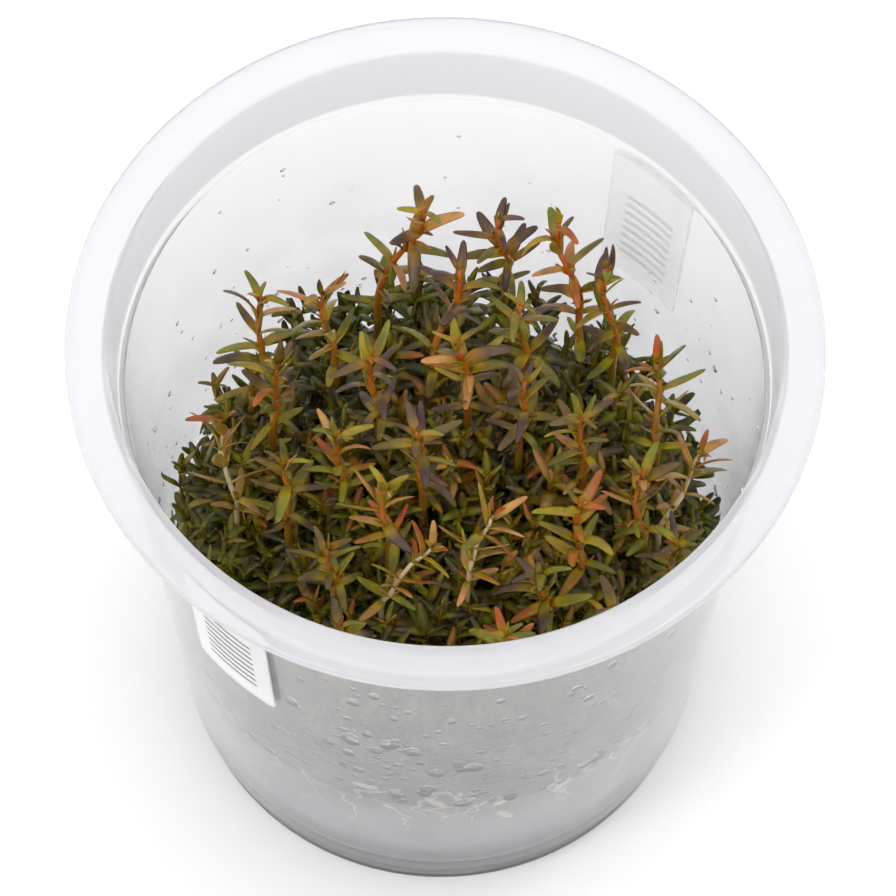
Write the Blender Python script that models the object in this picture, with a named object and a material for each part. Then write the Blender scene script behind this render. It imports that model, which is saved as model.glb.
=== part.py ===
"""Giant red rotala in a tissue culture cup, built as named solids in metres.

A thin translucent cup with a wide flange holds a bed of gel. A dense growth of
small shoots covers the gel, and taller stems with opposite pairs of leaves rise
out of it. Two strips of paper label are stuck to the outside of the wall.
The origin is at the centre of the foot ring, with +Z up and the view from -Y.
"""

import math

import bmesh
import bpy
from mathutils import Vector
from mathutils.bvhtree import BVHTree

MM = 0.001                    # all the dimensions below are millimetres
GAP = 0.3                     # clearance between pieces that touch in the real thing

# Driving dimensions of the cup.
TOTAL_HEIGHT = 92.0
FLANGE_RADIUS = 47.5          # the flange is 95 mm across
FLANGE_WIDTH = 5.5
FLANGE_THICKNESS = 1.0
SKIRT_DROP = 1.5              # how far the flange's turned-down edge hangs below its top
SKIRT_WALL = 0.7
LEDGE_DROP = 9.9              # rim to the stacking ledge inside the wall
LEDGE_STEP = 0.8              # how far the wall steps in at the ledge
WALL = 0.8
BODY_RADIUS_TOP = 41.3        # outside, just under the ledge
BODY_RADIUS_BOTTOM = 36.1     # outside, at the ridge above the foot ring
RIDGE_HEIGHT = 5.0
FOOT_RADIUS = 35.2
FOOT_WALL = 1.6
FLOOR_HEIGHT = 6.0            # inside floor above the table
FLOOR_WALL = 1.0
CORNER = 2.2                  # fillet between the floor and the wall, inside
EDGE = 0.3                    # small bevel on the foot, the ridge and the flange
CUP_SEGMENTS = 48

# The gel, the carpet of low shoots and the labels.
GEL_TOP = 30.0
GEL_MENISCUS = 1.2            # width of the gel's raised rim; it is half as high
GEL_SEGMENTS = 40
GROWTH_HEIGHT = 26.0          # mean height of the low shoots above the gel
GROWTH_MARGIN = 0.9           # from the cup's wall to the outermost leaves
GROWTH_CROWN = 3.0            # how much higher the middle of the growth is
GROWTH_FALL = 9.0             # how far it falls from the middle to the wall
GROWTH_LUMP = 1.6             # height of its rounded lumps
# Each wave of lumps: radians per millimetre along x and along y, phase, weight.
GROWTH_WAVES = ((0.42, 0.37, 0.5, 0.5), (0.42, -0.37, 1.3, 0.5), (0.31, -0.27, 2.0, 0.7))
GROWTH_NOTCH = 3.2            # depth of the gaps between neighbouring tips
GROWTH_FRINGE = 1.4           # how far the gaps between tips go in from the wall
GROWTH_RINGS = 12
GROWTH_SEGMENTS = 44
LABEL_TOP_DROP = 12.0         # rim to the upper edge of a label
LABEL_LENGTH = 26.0
LABEL_WIDTH = 13.5
LABEL_THICKNESS = 0.25
LABEL_AZIMUTH = -41.0         # degrees from the front towards +X; the other is opposite
LABEL_STEPS = 6

# A stem's section, and the shape of one leaf.
STEM_WIDTH = 1.0
NODE_LENGTH = 1.0             # height of the collar that carries a pair of leaves
LEAF_WIDTH = 1.9
LEAF_THICKNESS = 0.5
LEAF_DROOP = 0.10             # how far the tip bends back, as a share of the length
LEAF_WIDEST = 0.5             # place of the widest point along the leaf
TOP_LEAF_SHARE = 0.62         # length of the topmost pair against the full one
LOWEST_PAIR = 0.36            # places of the lowest and the topmost pair along the stem
HIGHEST_PAIR = 0.93
TIP_WIDTH_SHARE = 0.45        # width of the stem's tip against its foot
LEAF_RISE = 12.0              # degrees that the lowest leaves rise from the stem's side
LEAF_RISE_GAIN = 38.0         # how much steeper the topmost ones are
FOOT_CLEARANCE = 2 * GAP      # from the growth to a stem's foot
# A stem that would touch another is turned by these degrees, then gets shorter leaves.
EXTRA_TURNS = (0, 20, -20, 40, -40, 60, -60, 80)
LEAF_SHARES = (1.0, 0.92, 0.84, 0.76, 0.68, 0.6, 0.5, 0.4)

# Each stem: tip x, y, z; how far its root lies from the tip in x and y; the
# turn of its lowest pair about the stem; pairs of leaves; leaf length; colour.
STEMS = (
    (-3.2, 26.1, 78.5, -6.0, -2.0, 8, 5, 5.4, "olive"),
    (6.8, 25.8, 77.5, 1.0, 1.2, 12, 5, 4.6, "red"),
    (14.4, 24.2, 79.0, 3.5, -5.5, 95, 5, 5.0, "olive"),
    (20.8, 20.6, 74.0, 1.5, -4.0, 40, 4, 4.8, "red"),
    (1.6, 20.0, 74.5, -3.0, -6.5, 70, 4, 4.8, "olive"),
    (-24.0, 17.0, 71.0, -1.5, -6.0, 20, 5, 5.2, "olive"),
    (-16.2, 18.8, 69.0, 1.5, -5.0, 65, 4, 5.0, "red"),
    (27.6, 11.0, 66.5, 0.5, -7.5, 15, 4, 5.0, "red"),
    (-29.0, 2.2, 65.0, 2.0, -8.5, 5, 4, 5.2, "pale"),
    (33.4, -1.6, 66.0, -5.0, -6.5, 30, 4, 4.6, "pale"),
    (-7.3, -9.8, 69.5, 0.5, -3.5, 25, 4, 4.8, "pink"),
    (-1.2, -17.6, 68.5, -6.5, -2.5, 80, 4, 4.4, "pale"),
    (6.4, -13.4, 70.0, -3.0, -5.0, 45, 4, 4.6, "pink"),
    (12.8, -19.4, 66.0, 1.0, -2.0, 10, 4, 4.8, "olive"),
    (17.6, -11.6, 70.0, 0.5, -3.0, 60, 4, 4.8, "red"),
    (-3.6, -2.4, 71.0, 1.0, -3.0, 100, 4, 5.0, "olive"),
    (-21.6, 8.6, 68.5, -1.0, -4.0, 50, 4, 5.0, "red"),
    (-9.6, 8.0, 72.0, 1.0, -3.5, 35, 4, 5.0, "olive"),
    (1.6, 9.4, 74.0, 1.5, -2.5, 5, 5, 5.0, "red"),
    (10.4, 5.6, 70.5, -0.5, -3.0, 75, 4, 4.8, "olive"),
    (25.4, -6.2, 68.5, 1.0, -3.0, 85, 4, 4.8, "red"),
    (30.2, -14.0, 64.5, 0.0, -1.0, 55, 4, 4.4, "olive"),
    (-14.6, -17.4, 67.5, 1.0, -2.5, 95, 4, 4.6, "red"),
    (-20.6, -5.8, 68.5, 0.5, -3.5, 70, 4, 4.8, "olive"),
    (-12.8, -27.4, 65.5, 0.5, 1.5, 15, 3, 4.4, "olive"),
    (8.4, -28.2, 66.0, 0.5, 1.0, 40, 3, 4.4, "red"),
    (22.0, -24.0, 65.0, -0.5, 1.0, 20, 3, 4.4, "olive"),
    (17.8, 1.4, 69.0, 0.5, -2.5, 30, 4, 4.8, "olive"),
    (9.8, 15.6, 73.0, 0.5, -3.0, 55, 4, 5.0, "red"),
    (-13.6, -1.8, 68.5, 0.5, -2.5, 15, 4, 4.8, "red"),
)

# Colour (linear RGB), roughness and metallic value of each finish.
FINISHES = {
    "cup": ((0.72, 0.72, 0.75), 0.35, 0.0),
    "gel": ((0.42, 0.47, 0.52), 0.30, 0.0),
    "label": ((0.80, 0.80, 0.80), 0.75, 0.0),
    "growth": ((0.060, 0.070, 0.020), 0.55, 0.0),
    "olive": ((0.110, 0.120, 0.022), 0.45, 0.0),
    "red": ((0.200, 0.055, 0.025), 0.45, 0.0),
    "pink": ((0.420, 0.140, 0.120), 0.45, 0.0),
    "pale": ((0.400, 0.340, 0.130), 0.45, 0.0),
}


def finish(name):
    """Return the Principled material of that name, made the first time it is asked for."""
    if name in bpy.data.materials:
        return bpy.data.materials[name]
    colour, roughness, metallic = FINISHES[name]
    material = bpy.data.materials.new(name)
    material.use_nodes = True
    shader = material.node_tree.nodes["Principled BSDF"]
    shader.inputs["Base Color"].default_value = (*colour, 1.0)
    shader.inputs["Roughness"].default_value = roughness
    shader.inputs["Metallic"].default_value = metallic
    return material


def place(name, mesh, finish_name, smooth_degrees=None):
    """Close a bmesh given in millimetres, turn it outwards and link it as an object."""
    bmesh.ops.recalc_face_normals(mesh, faces=mesh.faces[:])
    bmesh.ops.scale(mesh, vec=(MM, MM, MM), verts=mesh.verts[:])
    data = bpy.data.meshes.new(name)
    mesh.to_mesh(data)
    mesh.free()
    if smooth_degrees is not None:
        data.shade_smooth()
        data.set_sharp_from_angle(angle=math.radians(smooth_degrees))
    data.materials.append(finish(finish_name))
    piece = bpy.data.objects.new(name, data)
    bpy.context.collection.objects.link(piece)
    return piece


def turned(profile, segments):
    """Turn a profile of (radius, height) about Z; it starts and ends on the axis."""
    mesh = bmesh.new()
    rings = []
    for radius, height in profile:
        if radius == 0.0:
            rings.append([mesh.verts.new((0.0, 0.0, height))])
            continue
        angles = (2.0 * math.pi * step / segments for step in range(segments))
        rings.append([mesh.verts.new((radius * math.cos(a), radius * math.sin(a), height))
                      for a in angles])
    for lower, upper in zip(rings, rings[1:]):
        for step in range(segments):
            after = (step + 1) % segments
            if len(lower) == 1:
                mesh.faces.new((lower[0], upper[step], upper[after]))
            elif len(upper) == 1:
                mesh.faces.new((lower[step], upper[0], lower[after]))
            else:
                mesh.faces.new((lower[step], upper[step], upper[after], lower[after]))
    return mesh


def outer_radius(height):
    """Outside radius of the cup's body between the ridge and the ledge."""
    ledge = TOTAL_HEIGHT - LEDGE_DROP
    share = (height - RIDGE_HEIGHT) / (ledge - RIDGE_HEIGHT)
    return BODY_RADIUS_BOTTOM + (BODY_RADIUS_TOP - BODY_RADIUS_BOTTOM) * share


def inner_radius(height):
    """Inside radius of the cup's body between the floor's fillet and the ledge."""
    return outer_radius(height) - WALL


def cup_profile():
    """Outline of the cup, from under the floor, over the flange and back to the floor."""
    top = TOTAL_HEIGHT
    ledge = top - LEDGE_DROP
    crest = FLANGE_RADIUS - FLANGE_WIDTH
    upper_outside = BODY_RADIUS_TOP + LEDGE_STEP
    foot_inside = FOOT_RADIUS - FOOT_WALL
    underside = FLOOR_HEIGHT - FLOOR_WALL
    return (
        (0.0, underside),
        (foot_inside, underside),
        (foot_inside, EDGE),
        (foot_inside + EDGE, 0.0),
        (FOOT_RADIUS - EDGE, 0.0),
        (FOOT_RADIUS, EDGE),
        (FOOT_RADIUS, RIDGE_HEIGHT - EDGE),
        (BODY_RADIUS_BOTTOM, RIDGE_HEIGHT),
        (BODY_RADIUS_TOP, ledge - LEDGE_STEP),
        (upper_outside, ledge),
        (crest + WALL, top - FLANGE_THICKNESS),
        (FLANGE_RADIUS - SKIRT_WALL, top - FLANGE_THICKNESS),
        (FLANGE_RADIUS - SKIRT_WALL, top - SKIRT_DROP),
        (FLANGE_RADIUS, top - SKIRT_DROP),
        (FLANGE_RADIUS, top - EDGE),
        (FLANGE_RADIUS - EDGE, top),
        (crest + EDGE, top),
        (crest, top - EDGE),
        (upper_outside - WALL, ledge + EDGE),
        (inner_radius(ledge), ledge),
        (inner_radius(FLOOR_HEIGHT + CORNER), FLOOR_HEIGHT + CORNER),
        (inner_radius(FLOOR_HEIGHT) - CORNER * 0.3, FLOOR_HEIGHT + CORNER * 0.3),
        (inner_radius(FLOOR_HEIGHT) - CORNER, FLOOR_HEIGHT),
        (0.0, FLOOR_HEIGHT),
    )


def gel_profile():
    """Outline of the gel: the cup's inside less the gap, with a low meniscus at the wall."""
    foot = FLOOR_HEIGHT + GAP
    return (
        (0.0, foot),
        (inner_radius(foot) - CORNER - GAP, foot),
        (inner_radius(foot) - CORNER * 0.3 - 2 * GAP, foot + CORNER * 0.3),
        (inner_radius(foot + CORNER) - GAP, foot + CORNER),
        (inner_radius(GEL_TOP) - GAP, GEL_TOP),
        (inner_radius(GEL_TOP) - GEL_MENISCUS, GEL_TOP - GEL_MENISCUS / 2),
        (0.0, GEL_TOP - GEL_MENISCUS / 2),
    )


def growth_top(x, y):
    """Height of the low shoots' tips at a place: a shallow heap of rounded lumps."""
    radius = math.hypot(x, y) / inner_radius(GEL_TOP)
    lumps = sum(weight * math.sin(a * x + b * y + phase) for a, b, phase, weight in GROWTH_WAVES)
    heap = GROWTH_CROWN - GROWTH_FALL * radius ** 4
    return GEL_TOP + GROWTH_HEIGHT + heap + GROWTH_LUMP * lumps


def low_growth():
    """One closed heap for the low shoots: tips at growth_top, with a gap between each two."""
    profile = []
    foot = GEL_TOP + GAP
    reach = inner_radius(foot) - GROWTH_MARGIN
    profile.append((0.0, foot))
    profile.append((reach, foot))
    for ring in range(GROWTH_RINGS, 0, -1):
        profile.append((reach * ring / GROWTH_RINGS, GEL_TOP + GROWTH_HEIGHT))
    profile.append((0.0, GEL_TOP + GROWTH_HEIGHT))
    mesh = turned(profile, GROWTH_SEGMENTS)
    for vertex in mesh.verts:
        if vertex.co.z <= foot:
            continue
        radius = math.hypot(vertex.co.x, vertex.co.y)
        ring = round(radius / reach * GROWTH_RINGS)
        step = round(math.atan2(vertex.co.y, vertex.co.x) / (2.0 * math.pi) * GROWTH_SEGMENTS)
        gap = (ring + step) % 2 and ring > 2
        vertex.co.z = growth_top(vertex.co.x, vertex.co.y) - GROWTH_NOTCH * gap
        if gap and ring == GROWTH_RINGS:
            vertex.co.x *= 1.0 - GROWTH_FRINGE / radius
            vertex.co.y *= 1.0 - GROWTH_FRINGE / radius
    bmesh.ops.triangulate(mesh, faces=mesh.faces[:])
    return mesh


def label(azimuth):
    """A strip of paper bent round the outside of the wall, clear of it by the gap."""
    mesh = bmesh.new()
    top = TOTAL_HEIGHT - LABEL_TOP_DROP
    bottom = top - LABEL_LENGTH
    half_angle = LABEL_WIDTH / 2 / outer_radius(top)
    rows = []
    for step in range(LABEL_STEPS + 1):
        angle = math.radians(azimuth) + half_angle * (2.0 * step / LABEL_STEPS - 1.0)
        row = []
        for height, proud in ((bottom, 0.0), (top, 0.0), (top, 1.0), (bottom, 1.0)):
            radius = outer_radius(height) + GAP + proud * LABEL_THICKNESS
            row.append(mesh.verts.new((radius * math.sin(angle), -radius * math.cos(angle), height)))
        rows.append(row)
    for row, following in zip(rows, rows[1:]):
        for corner in range(4):
            after = (corner + 1) % 4
            mesh.faces.new((row[corner], row[after], following[after], following[corner]))
    mesh.faces.new(rows[0])
    mesh.faces.new(rows[-1])
    return mesh


def stem_axis(root, tip, share):
    """Point along a stem: it leaves the growth nearly upright and bends over to its tip."""
    bend = share * share * (3.0 - 2.0 * share)
    return Vector((root.x + (tip.x - root.x) * bend,
                   root.y + (tip.y - root.y) * bend,
                   root.z + (tip.z - root.z) * share))


def section(mesh, centre, along, turn, width):
    """Four corners of a square across the stem, turned about it by an angle in radians."""
    side = Vector((math.cos(turn), math.sin(turn), 0.0))
    side = (side - along * side.dot(along)).normalized()
    other = along.cross(side)
    half = width / 2
    corners = ((-half, -half), (half, -half), (half, half), (-half, half))
    return [mesh.verts.new(centre + side * a + other * b) for a, b in corners]


def leaf(mesh, face, along, length, rise):
    """Grow a leaf from a side face of the stem: out to a wide middle, then to a narrow tip."""
    outward = face.normal.copy()
    centre = face.calc_center_median()
    across = along.cross(outward).normalized()
    direction = (outward * math.cos(rise) + along * math.sin(rise)).normalized()
    upward = across.cross(direction).normalized()
    if upward.dot(along) < 0.0:
        upward.negate()
    corners = list(face.verts)
    signs = [(1.0 if (v.co - centre).dot(across) > 0.0 else -1.0,
              1.0 if (v.co - centre).dot(along) > 0.0 else -1.0) for v in corners]
    mesh.faces.remove(face)
    for reach, half_width, half_thick in ((LEAF_WIDEST, LEAF_WIDTH / 2, LEAF_THICKNESS / 2),
                                          (1.0, LEAF_WIDTH / 6, LEAF_THICKNESS / 4)):
        middle = centre + direction * length * reach - along * length * LEAF_DROOP * reach ** 2
        ring = [mesh.verts.new(middle + across * a * half_width + upward * b * half_thick)
                for a, b in signs]
        for index in range(4):
            after = (index + 1) % 4
            mesh.faces.new((corners[index], corners[after], ring[after], ring[index]))
        corners = ring
    mesh.faces.new(corners)


def stem(root, tip, turn, pairs, length):
    """A square stem with opposite pairs of leaves, each pair at right angles to the last."""
    mesh = bmesh.new()
    height = tip.z - root.z
    collars = []
    rings = [(0.0, 1.0)]
    for pair in range(pairs):
        share = LOWEST_PAIR + (HIGHEST_PAIR - LOWEST_PAIR) * pair / (pairs - 1)
        half = NODE_LENGTH / 2 / height
        collars.append(len(rings))
        rings += [(share - half, 1.0), (share + half, 0.9)]
    rings.append((1.0, TIP_WIDTH_SHARE))
    sections = []
    for share, width in rings:
        centre = stem_axis(root, tip, share)
        along = (stem_axis(root, tip, share + 0.02) - stem_axis(root, tip, share - 0.02)).normalized()
        sections.append((section(mesh, centre, along, turn, STEM_WIDTH * width), along))
    mesh.faces.new(sections[0][0])
    mesh.faces.new(sections[-1][0])
    sides = {}
    for index, ((lower, along), (upper, _)) in enumerate(zip(sections, sections[1:])):
        for corner in range(4):
            after = (corner + 1) % 4
            side = mesh.faces.new((lower[corner], lower[after], upper[after], upper[corner]))
            sides[index, corner] = (side, along)
    bmesh.ops.recalc_face_normals(mesh, faces=mesh.faces[:])
    for pair, index in enumerate(collars):
        share = pair / (pairs - 1)
        size = length * (1.0 + (TOP_LEAF_SHARE - 1.0) * share ** 2)
        rise = math.radians(LEAF_RISE + LEAF_RISE_GAIN * share ** 2)
        for corner in (pair % 2, pair % 2 + 2):
            side, along = sides[index, corner]
            leaf(mesh, side, along, size, rise)
    bmesh.ops.recalc_face_normals(mesh, faces=mesh.faces[:])
    bmesh.ops.triangulate(mesh, faces=mesh.faces[:])
    return mesh


def tree(mesh):
    """Search tree of a bmesh's faces, for finding pieces that would touch."""
    return BVHTree.FromBMesh(mesh)


def fattened(mesh, amount):
    """A copy of a bmesh with every vertex moved out along its normal."""
    copy = mesh.copy()
    copy.normal_update()
    for vertex in copy.verts:
        vertex.co += vertex.normal * amount
    return copy


def ground(heap, x, y):
    """Highest point of the heap's own facets under a stem's foot."""
    reach = STEM_WIDTH
    spots = [(a * reach, b * reach) for a in (-1, 0, 1) for b in (-1, 0, 1)]
    hits = (heap.ray_cast(Vector((x + a, y + b, TOTAL_HEIGHT)), Vector((0, 0, -1))) for a, b in spots)
    return max(place.z for place, _, _, _ in hits)


def clear_stem(row, heap, standing):
    """Build a stem, turning it and shortening its leaves until it clears all that stands."""
    tip_x, tip_y, tip_z, root_x, root_y, degrees, pairs, length, _ = row
    tip = Vector((tip_x, tip_y, tip_z))
    foot_x, foot_y = tip_x + root_x, tip_y + root_y
    root = Vector((foot_x, foot_y, ground(heap, foot_x, foot_y) + FOOT_CLEARANCE))
    for share in LEAF_SHARES:
        for extra in EXTRA_TURNS:
            mesh = stem(root, tip, math.radians(degrees + extra), pairs, length * share)
            wide = fattened(mesh, GAP / 2)
            body = tree(wide)
            wide.free()
            if not any(body.overlap(other) for other in standing):
                return mesh, body
            mesh.free()
    raise ValueError(f"no clear place for the stem at {tip_x}, {tip_y}")


def main():
    """Build every piece, from the cup outwards."""
    for leftover in list(bpy.data.objects):
        bpy.data.objects.remove(leftover, do_unlink=True)
    place("cup", turned(cup_profile(), CUP_SEGMENTS), "cup", smooth_degrees=30)
    place("culture_gel", turned(gel_profile(), GEL_SEGMENTS), "gel", smooth_degrees=30)
    place("label_front", label(LABEL_AZIMUTH), "label")
    place("label_back", label(LABEL_AZIMUTH + 180.0), "label")
    wall = tree(turned(cup_profile(), CUP_SEGMENTS))
    growth = low_growth()
    heap = tree(growth)
    standing = [wall, heap]
    place("low_growth", growth, "growth", smooth_degrees=60)
    for number, row in enumerate(STEMS, start=1):
        mesh, body = clear_stem(row, heap, standing)
        standing.append(body)
        place(f"stem_{number:02d}", mesh, row[-1])


main()
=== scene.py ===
# %% [markdown]
# # Giant red rotala in a culture cup
# This aquarium plant is grown by a laboratory on a bed of clear jelly, in a thin plastic cup.
# The construction is already made: it comes as a fixed frame of plain solids. This lesson
# dresses that frame. Each surface below is worked out with numpy as a function of two numbers,
# because arrays make hundreds of leaves as easily as one.

# %% Load the frame
import math

import bpy
import numpy as np
from mathutils import Matrix, Vector


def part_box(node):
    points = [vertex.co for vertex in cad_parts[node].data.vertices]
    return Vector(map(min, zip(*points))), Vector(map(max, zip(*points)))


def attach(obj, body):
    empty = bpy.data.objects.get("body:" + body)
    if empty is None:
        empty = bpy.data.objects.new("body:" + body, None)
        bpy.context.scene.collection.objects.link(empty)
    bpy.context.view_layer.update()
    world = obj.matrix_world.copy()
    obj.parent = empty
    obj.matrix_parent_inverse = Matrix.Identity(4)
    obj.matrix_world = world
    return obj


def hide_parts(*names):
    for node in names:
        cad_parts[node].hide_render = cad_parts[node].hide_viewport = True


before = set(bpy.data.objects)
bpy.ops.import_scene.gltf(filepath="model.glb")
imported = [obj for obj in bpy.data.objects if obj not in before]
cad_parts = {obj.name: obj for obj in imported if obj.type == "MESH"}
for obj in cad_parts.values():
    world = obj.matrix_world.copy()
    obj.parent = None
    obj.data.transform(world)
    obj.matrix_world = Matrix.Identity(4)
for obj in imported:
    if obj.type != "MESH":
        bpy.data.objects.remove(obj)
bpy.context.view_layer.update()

MM = 0.001
SEED = 20

# %% [markdown]
# ## The measures
# A dressed piece has to sit exactly where its plain solid is, so the sizes of the cup are the
# ones it was built with. Heights that can be read from the frame are read from it.

# %% Name the measures, in millimetres
TOTAL_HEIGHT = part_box("cup")[1][2] / MM
FLANGE_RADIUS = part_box("cup")[1][0] / MM
FLANGE_WIDTH = 5.5
FLANGE_THICKNESS = 1.0
SKIRT_DROP = 1.5
SKIRT_WALL = 0.7
LEDGE_DROP = 9.9
LEDGE_STEP = 0.8
WALL = 0.8
BODY_RADIUS_TOP = 41.3
BODY_RADIUS_BOTTOM = 36.1
RIDGE_HEIGHT = 5.0
FOOT_RADIUS = 35.2
FOOT_WALL = 1.6
FLOOR_HEIGHT = 6.0
FLOOR_WALL = 1.0
GEL_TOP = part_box("culture_gel")[1][2] / MM
GROWTH_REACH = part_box("low_growth")[1][0] / MM


def outer_radius(height):
    """Outside radius of the body: a straight line from the ridge up to the ledge."""
    share = (height - RIDGE_HEIGHT) / (TOTAL_HEIGHT - LEDGE_DROP - RIDGE_HEIGHT)
    return BODY_RADIUS_BOTTOM + (BODY_RADIUS_TOP - BODY_RADIUS_BOTTOM) * share


def inner_radius(height):
    """Inside radius of the body: the outside less the wall."""
    return outer_radius(height) - WALL


print("cup", FLANGE_RADIUS * 2, "across,", TOTAL_HEIGHT, "tall; gel up to", round(GEL_TOP, 1))

# %% [markdown]
# ## From arrays to a mesh
# Blender can fill a mesh from plain arrays in one call. A helper does it for every piece here:
# it makes the object, shades it smooth, stores any numbers that a material will read, and tells
# the frame which body the piece rides on.

# %% Turn arrays into pieces


def make_piece(name, points, faces, materials, replaces=(), values=None, uv=None, picks=None):
    """Make a mesh object of points in millimetres and lists of corner numbers.

    values maps an attribute's name to one number per point, uv holds one pair per point,
    and picks gives the number of each face's material.
    """
    data = bpy.data.meshes.new(name)
    data.from_pydata(np.asarray(points, dtype=float) * MM, [], faces)
    data.update()
    data.shade_smooth()
    for material in materials:
        data.materials.append(material)
    if picks is not None:
        data.polygons.foreach_set("material_index", np.asarray(picks, dtype=np.int32))
    for key, numbers in (values or {}).items():
        layer = data.attributes.new(key, "FLOAT", "POINT")
        layer.data.foreach_set("value", np.asarray(numbers, dtype=np.float32).ravel())
    if uv is not None:
        corners = np.empty(len(data.loops), dtype=np.int32)
        data.loops.foreach_get("vertex_index", corners)
        layer = data.uv_layers.new(name="UVMap")
        layer.data.foreach_set("uv", np.asarray(uv, dtype=np.float32)[corners].ravel())
    piece = bpy.data.objects.new(name, data)
    bpy.context.collection.objects.link(piece)
    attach(piece, "root")
    if replaces:
        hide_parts(*replaces)
    return piece


def unit(vectors):
    """Scale each vector of an array to length one."""
    return vectors / np.linalg.norm(vectors, axis=-1, keepdims=True)


def grid_faces(count, rows, columns):
    """Corner numbers of the quads of many tubes: rows along each, columns round it."""
    tube, row, column = np.meshgrid(np.arange(count), np.arange(rows - 1), np.arange(columns),
                                    indexing="ij")
    after = (column + 1) % columns
    first = (tube * rows + row) * columns
    quads = np.stack([first + column, first + after, first + columns + after, first + columns + column],
                     axis=-1)
    return quads.reshape(-1, 4)


def end_faces(count, rows, columns):
    """Corner numbers of the flat ends of many tubes: the first ring turned round, the last as it is."""
    ring = np.arange(columns)
    start = np.arange(count)[:, None] * rows * columns
    return (start + ring[::-1]).tolist() + (start + (rows - 1) * columns + ring).tolist()


def lathe(profile, segments):
    """Turn a profile about Z: point = (r cos a, r sin a, z) for every a round the circle.

    The profile is an array of (radius, height) that runs from the axis under the shape, up its
    outside and back to the axis above, so its faces point outwards.
    """
    profile = np.asarray(profile, dtype=float)
    ring = profile[1:-1]
    angle = np.linspace(0.0, 2.0 * np.pi, segments, endpoint=False)
    radius, height = ring[:, :1], ring[:, 1:]
    points = np.stack([radius * np.cos(angle), radius * np.sin(angle), height + 0.0 * angle], axis=-1)
    points = np.concatenate([points.reshape(-1, 3), [[0, 0, profile[0, 1]], [0, 0, profile[-1, 1]]]])
    low, high = len(points) - 2, len(points) - 1
    column = np.arange(segments)
    after = (column + 1) % segments
    last = (len(ring) - 1) * segments
    faces = grid_faces(1, len(ring), segments).tolist()
    faces += np.stack([after, column, np.full(segments, low)], axis=-1).tolist()
    faces += np.stack([last + column, last + after, np.full(segments, high)], axis=-1).tolist()
    return points, faces


def rounded(corners, radius, steps=4):
    """Round the corners of an outline: each corner becomes a short curve.

    The curve at a corner is the blend (1-t)^2 a + 2t(1-t) c + t^2 b between points a and b that
    lie on the two sides, at most the radius away from the corner c.
    """
    corners = np.asarray(corners, dtype=float)
    path = [corners[:1]]
    t = np.linspace(0.0, 1.0, steps)[:, None]
    for before, corner, after in zip(corners, corners[1:], corners[2:]):
        back, ahead = before - corner, after - corner
        a = corner + back * min(radius / np.hypot(*back), 0.45)
        b = corner + ahead * min(radius / np.hypot(*ahead), 0.45)
        path.append((1 - t) ** 2 * a + 2 * t * (1 - t) * corner + t ** 2 * b)
    path.append(corners[-1:])
    return np.concatenate(path)


print("helpers for pieces, tubes and turned shapes are ready")

# %% [markdown]
# ## Steps between sockets
# A finish is a chain of small nodes. Each function here adds one of them to a node tree and
# returns the socket that comes out, so a chain reads like a sum.

# %% Make single nodes


def join(tree, source, target):
    """Link two sockets of a node tree."""
    tree.links.new(source, target)


def mix_colours(tree, factor, first, second):
    """Blend two colours by a factor socket."""
    node = tree.nodes.new("ShaderNodeMix")
    node.data_type = "RGBA"
    join(tree, factor, node.inputs["Factor"])
    join(tree, first, node.inputs["A"])
    join(tree, second, node.inputs["B"])
    return node.outputs["Result"]


def span(tree, source, from_min, from_max, to_min=0.0, to_max=1.0):
    """Map a value from one range to another, held at the ends."""
    node = tree.nodes.new("ShaderNodeMapRange")
    for label, value in (("From Min", from_min), ("From Max", from_max),
                         ("To Min", to_min), ("To Max", to_max)):
        node.inputs[label].default_value = value
    join(tree, source, node.inputs["Value"])
    return node.outputs["Result"]


def ramp(tree, factor, stops):
    """Turn a number into a colour by stops of (position, colour)."""
    node = tree.nodes.new("ShaderNodeValToRGB")
    elements = node.color_ramp.elements
    while len(elements) < len(stops):
        elements.new(0.5)
    for element, (position, colour) in zip(elements, stops):
        element.position = position
        element.color = (*colour, 1.0)
    join(tree, factor, node.inputs["Fac"])
    return node.outputs["Color"]


def height_above_table(tree):
    """Height of each place of a piece above the table, in metres."""
    place = tree.nodes.new("ShaderNodeTexCoord")
    split = tree.nodes.new("ShaderNodeSeparateXYZ")
    join(tree, place.outputs["Object"], split.inputs["Vector"])
    return split.outputs["Z"]


def calculate(tree, operation, first, second):
    """One math node on a socket and either a number or another socket."""
    node = tree.nodes.new("ShaderNodeMath")
    node.operation = operation
    join(tree, first, node.inputs[0])
    if isinstance(second, float):
        node.inputs[1].default_value = second
    else:
        join(tree, second, node.inputs[1])
    return node.outputs[0]


print("helpers for finishes are ready")

# %% [markdown]
# ## Shared effects
# Two effects come back in several finishes: blotches of a second colour, and fine bumps. Each is
# a node group with named inputs, built once. A group hands out only colours, values and normals;
# the shader itself stays in each material.

# %% Build the node groups


def new_group(name, inputs, outputs):
    """Start a shader node group with sockets given as (kind, name, value)."""
    group = bpy.data.node_groups.new(name, "ShaderNodeTree")
    for kind, label, value in inputs:
        socket = group.interface.new_socket(label, in_out="INPUT", socket_type=f"NodeSocket{kind}")
        socket.default_value = value
    for kind, label in outputs:
        group.interface.new_socket(label, in_out="OUTPUT", socket_type=f"NodeSocket{kind}")
    return group, group.nodes.new("NodeGroupInput"), group.nodes.new("NodeGroupOutput")


def own_noise(group, start, detail):
    """Cloudy noise on the object's own coordinates, at the scale that the group is given."""
    place = group.nodes.new("ShaderNodeTexCoord")
    noise = group.nodes.new("ShaderNodeTexNoise")
    noise.inputs["Detail"].default_value = detail
    join(group, place.outputs["Object"], noise.inputs["Vector"])
    join(group, start.outputs["Scale"], noise.inputs["Scale"])
    return noise.outputs["Fac"]


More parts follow.
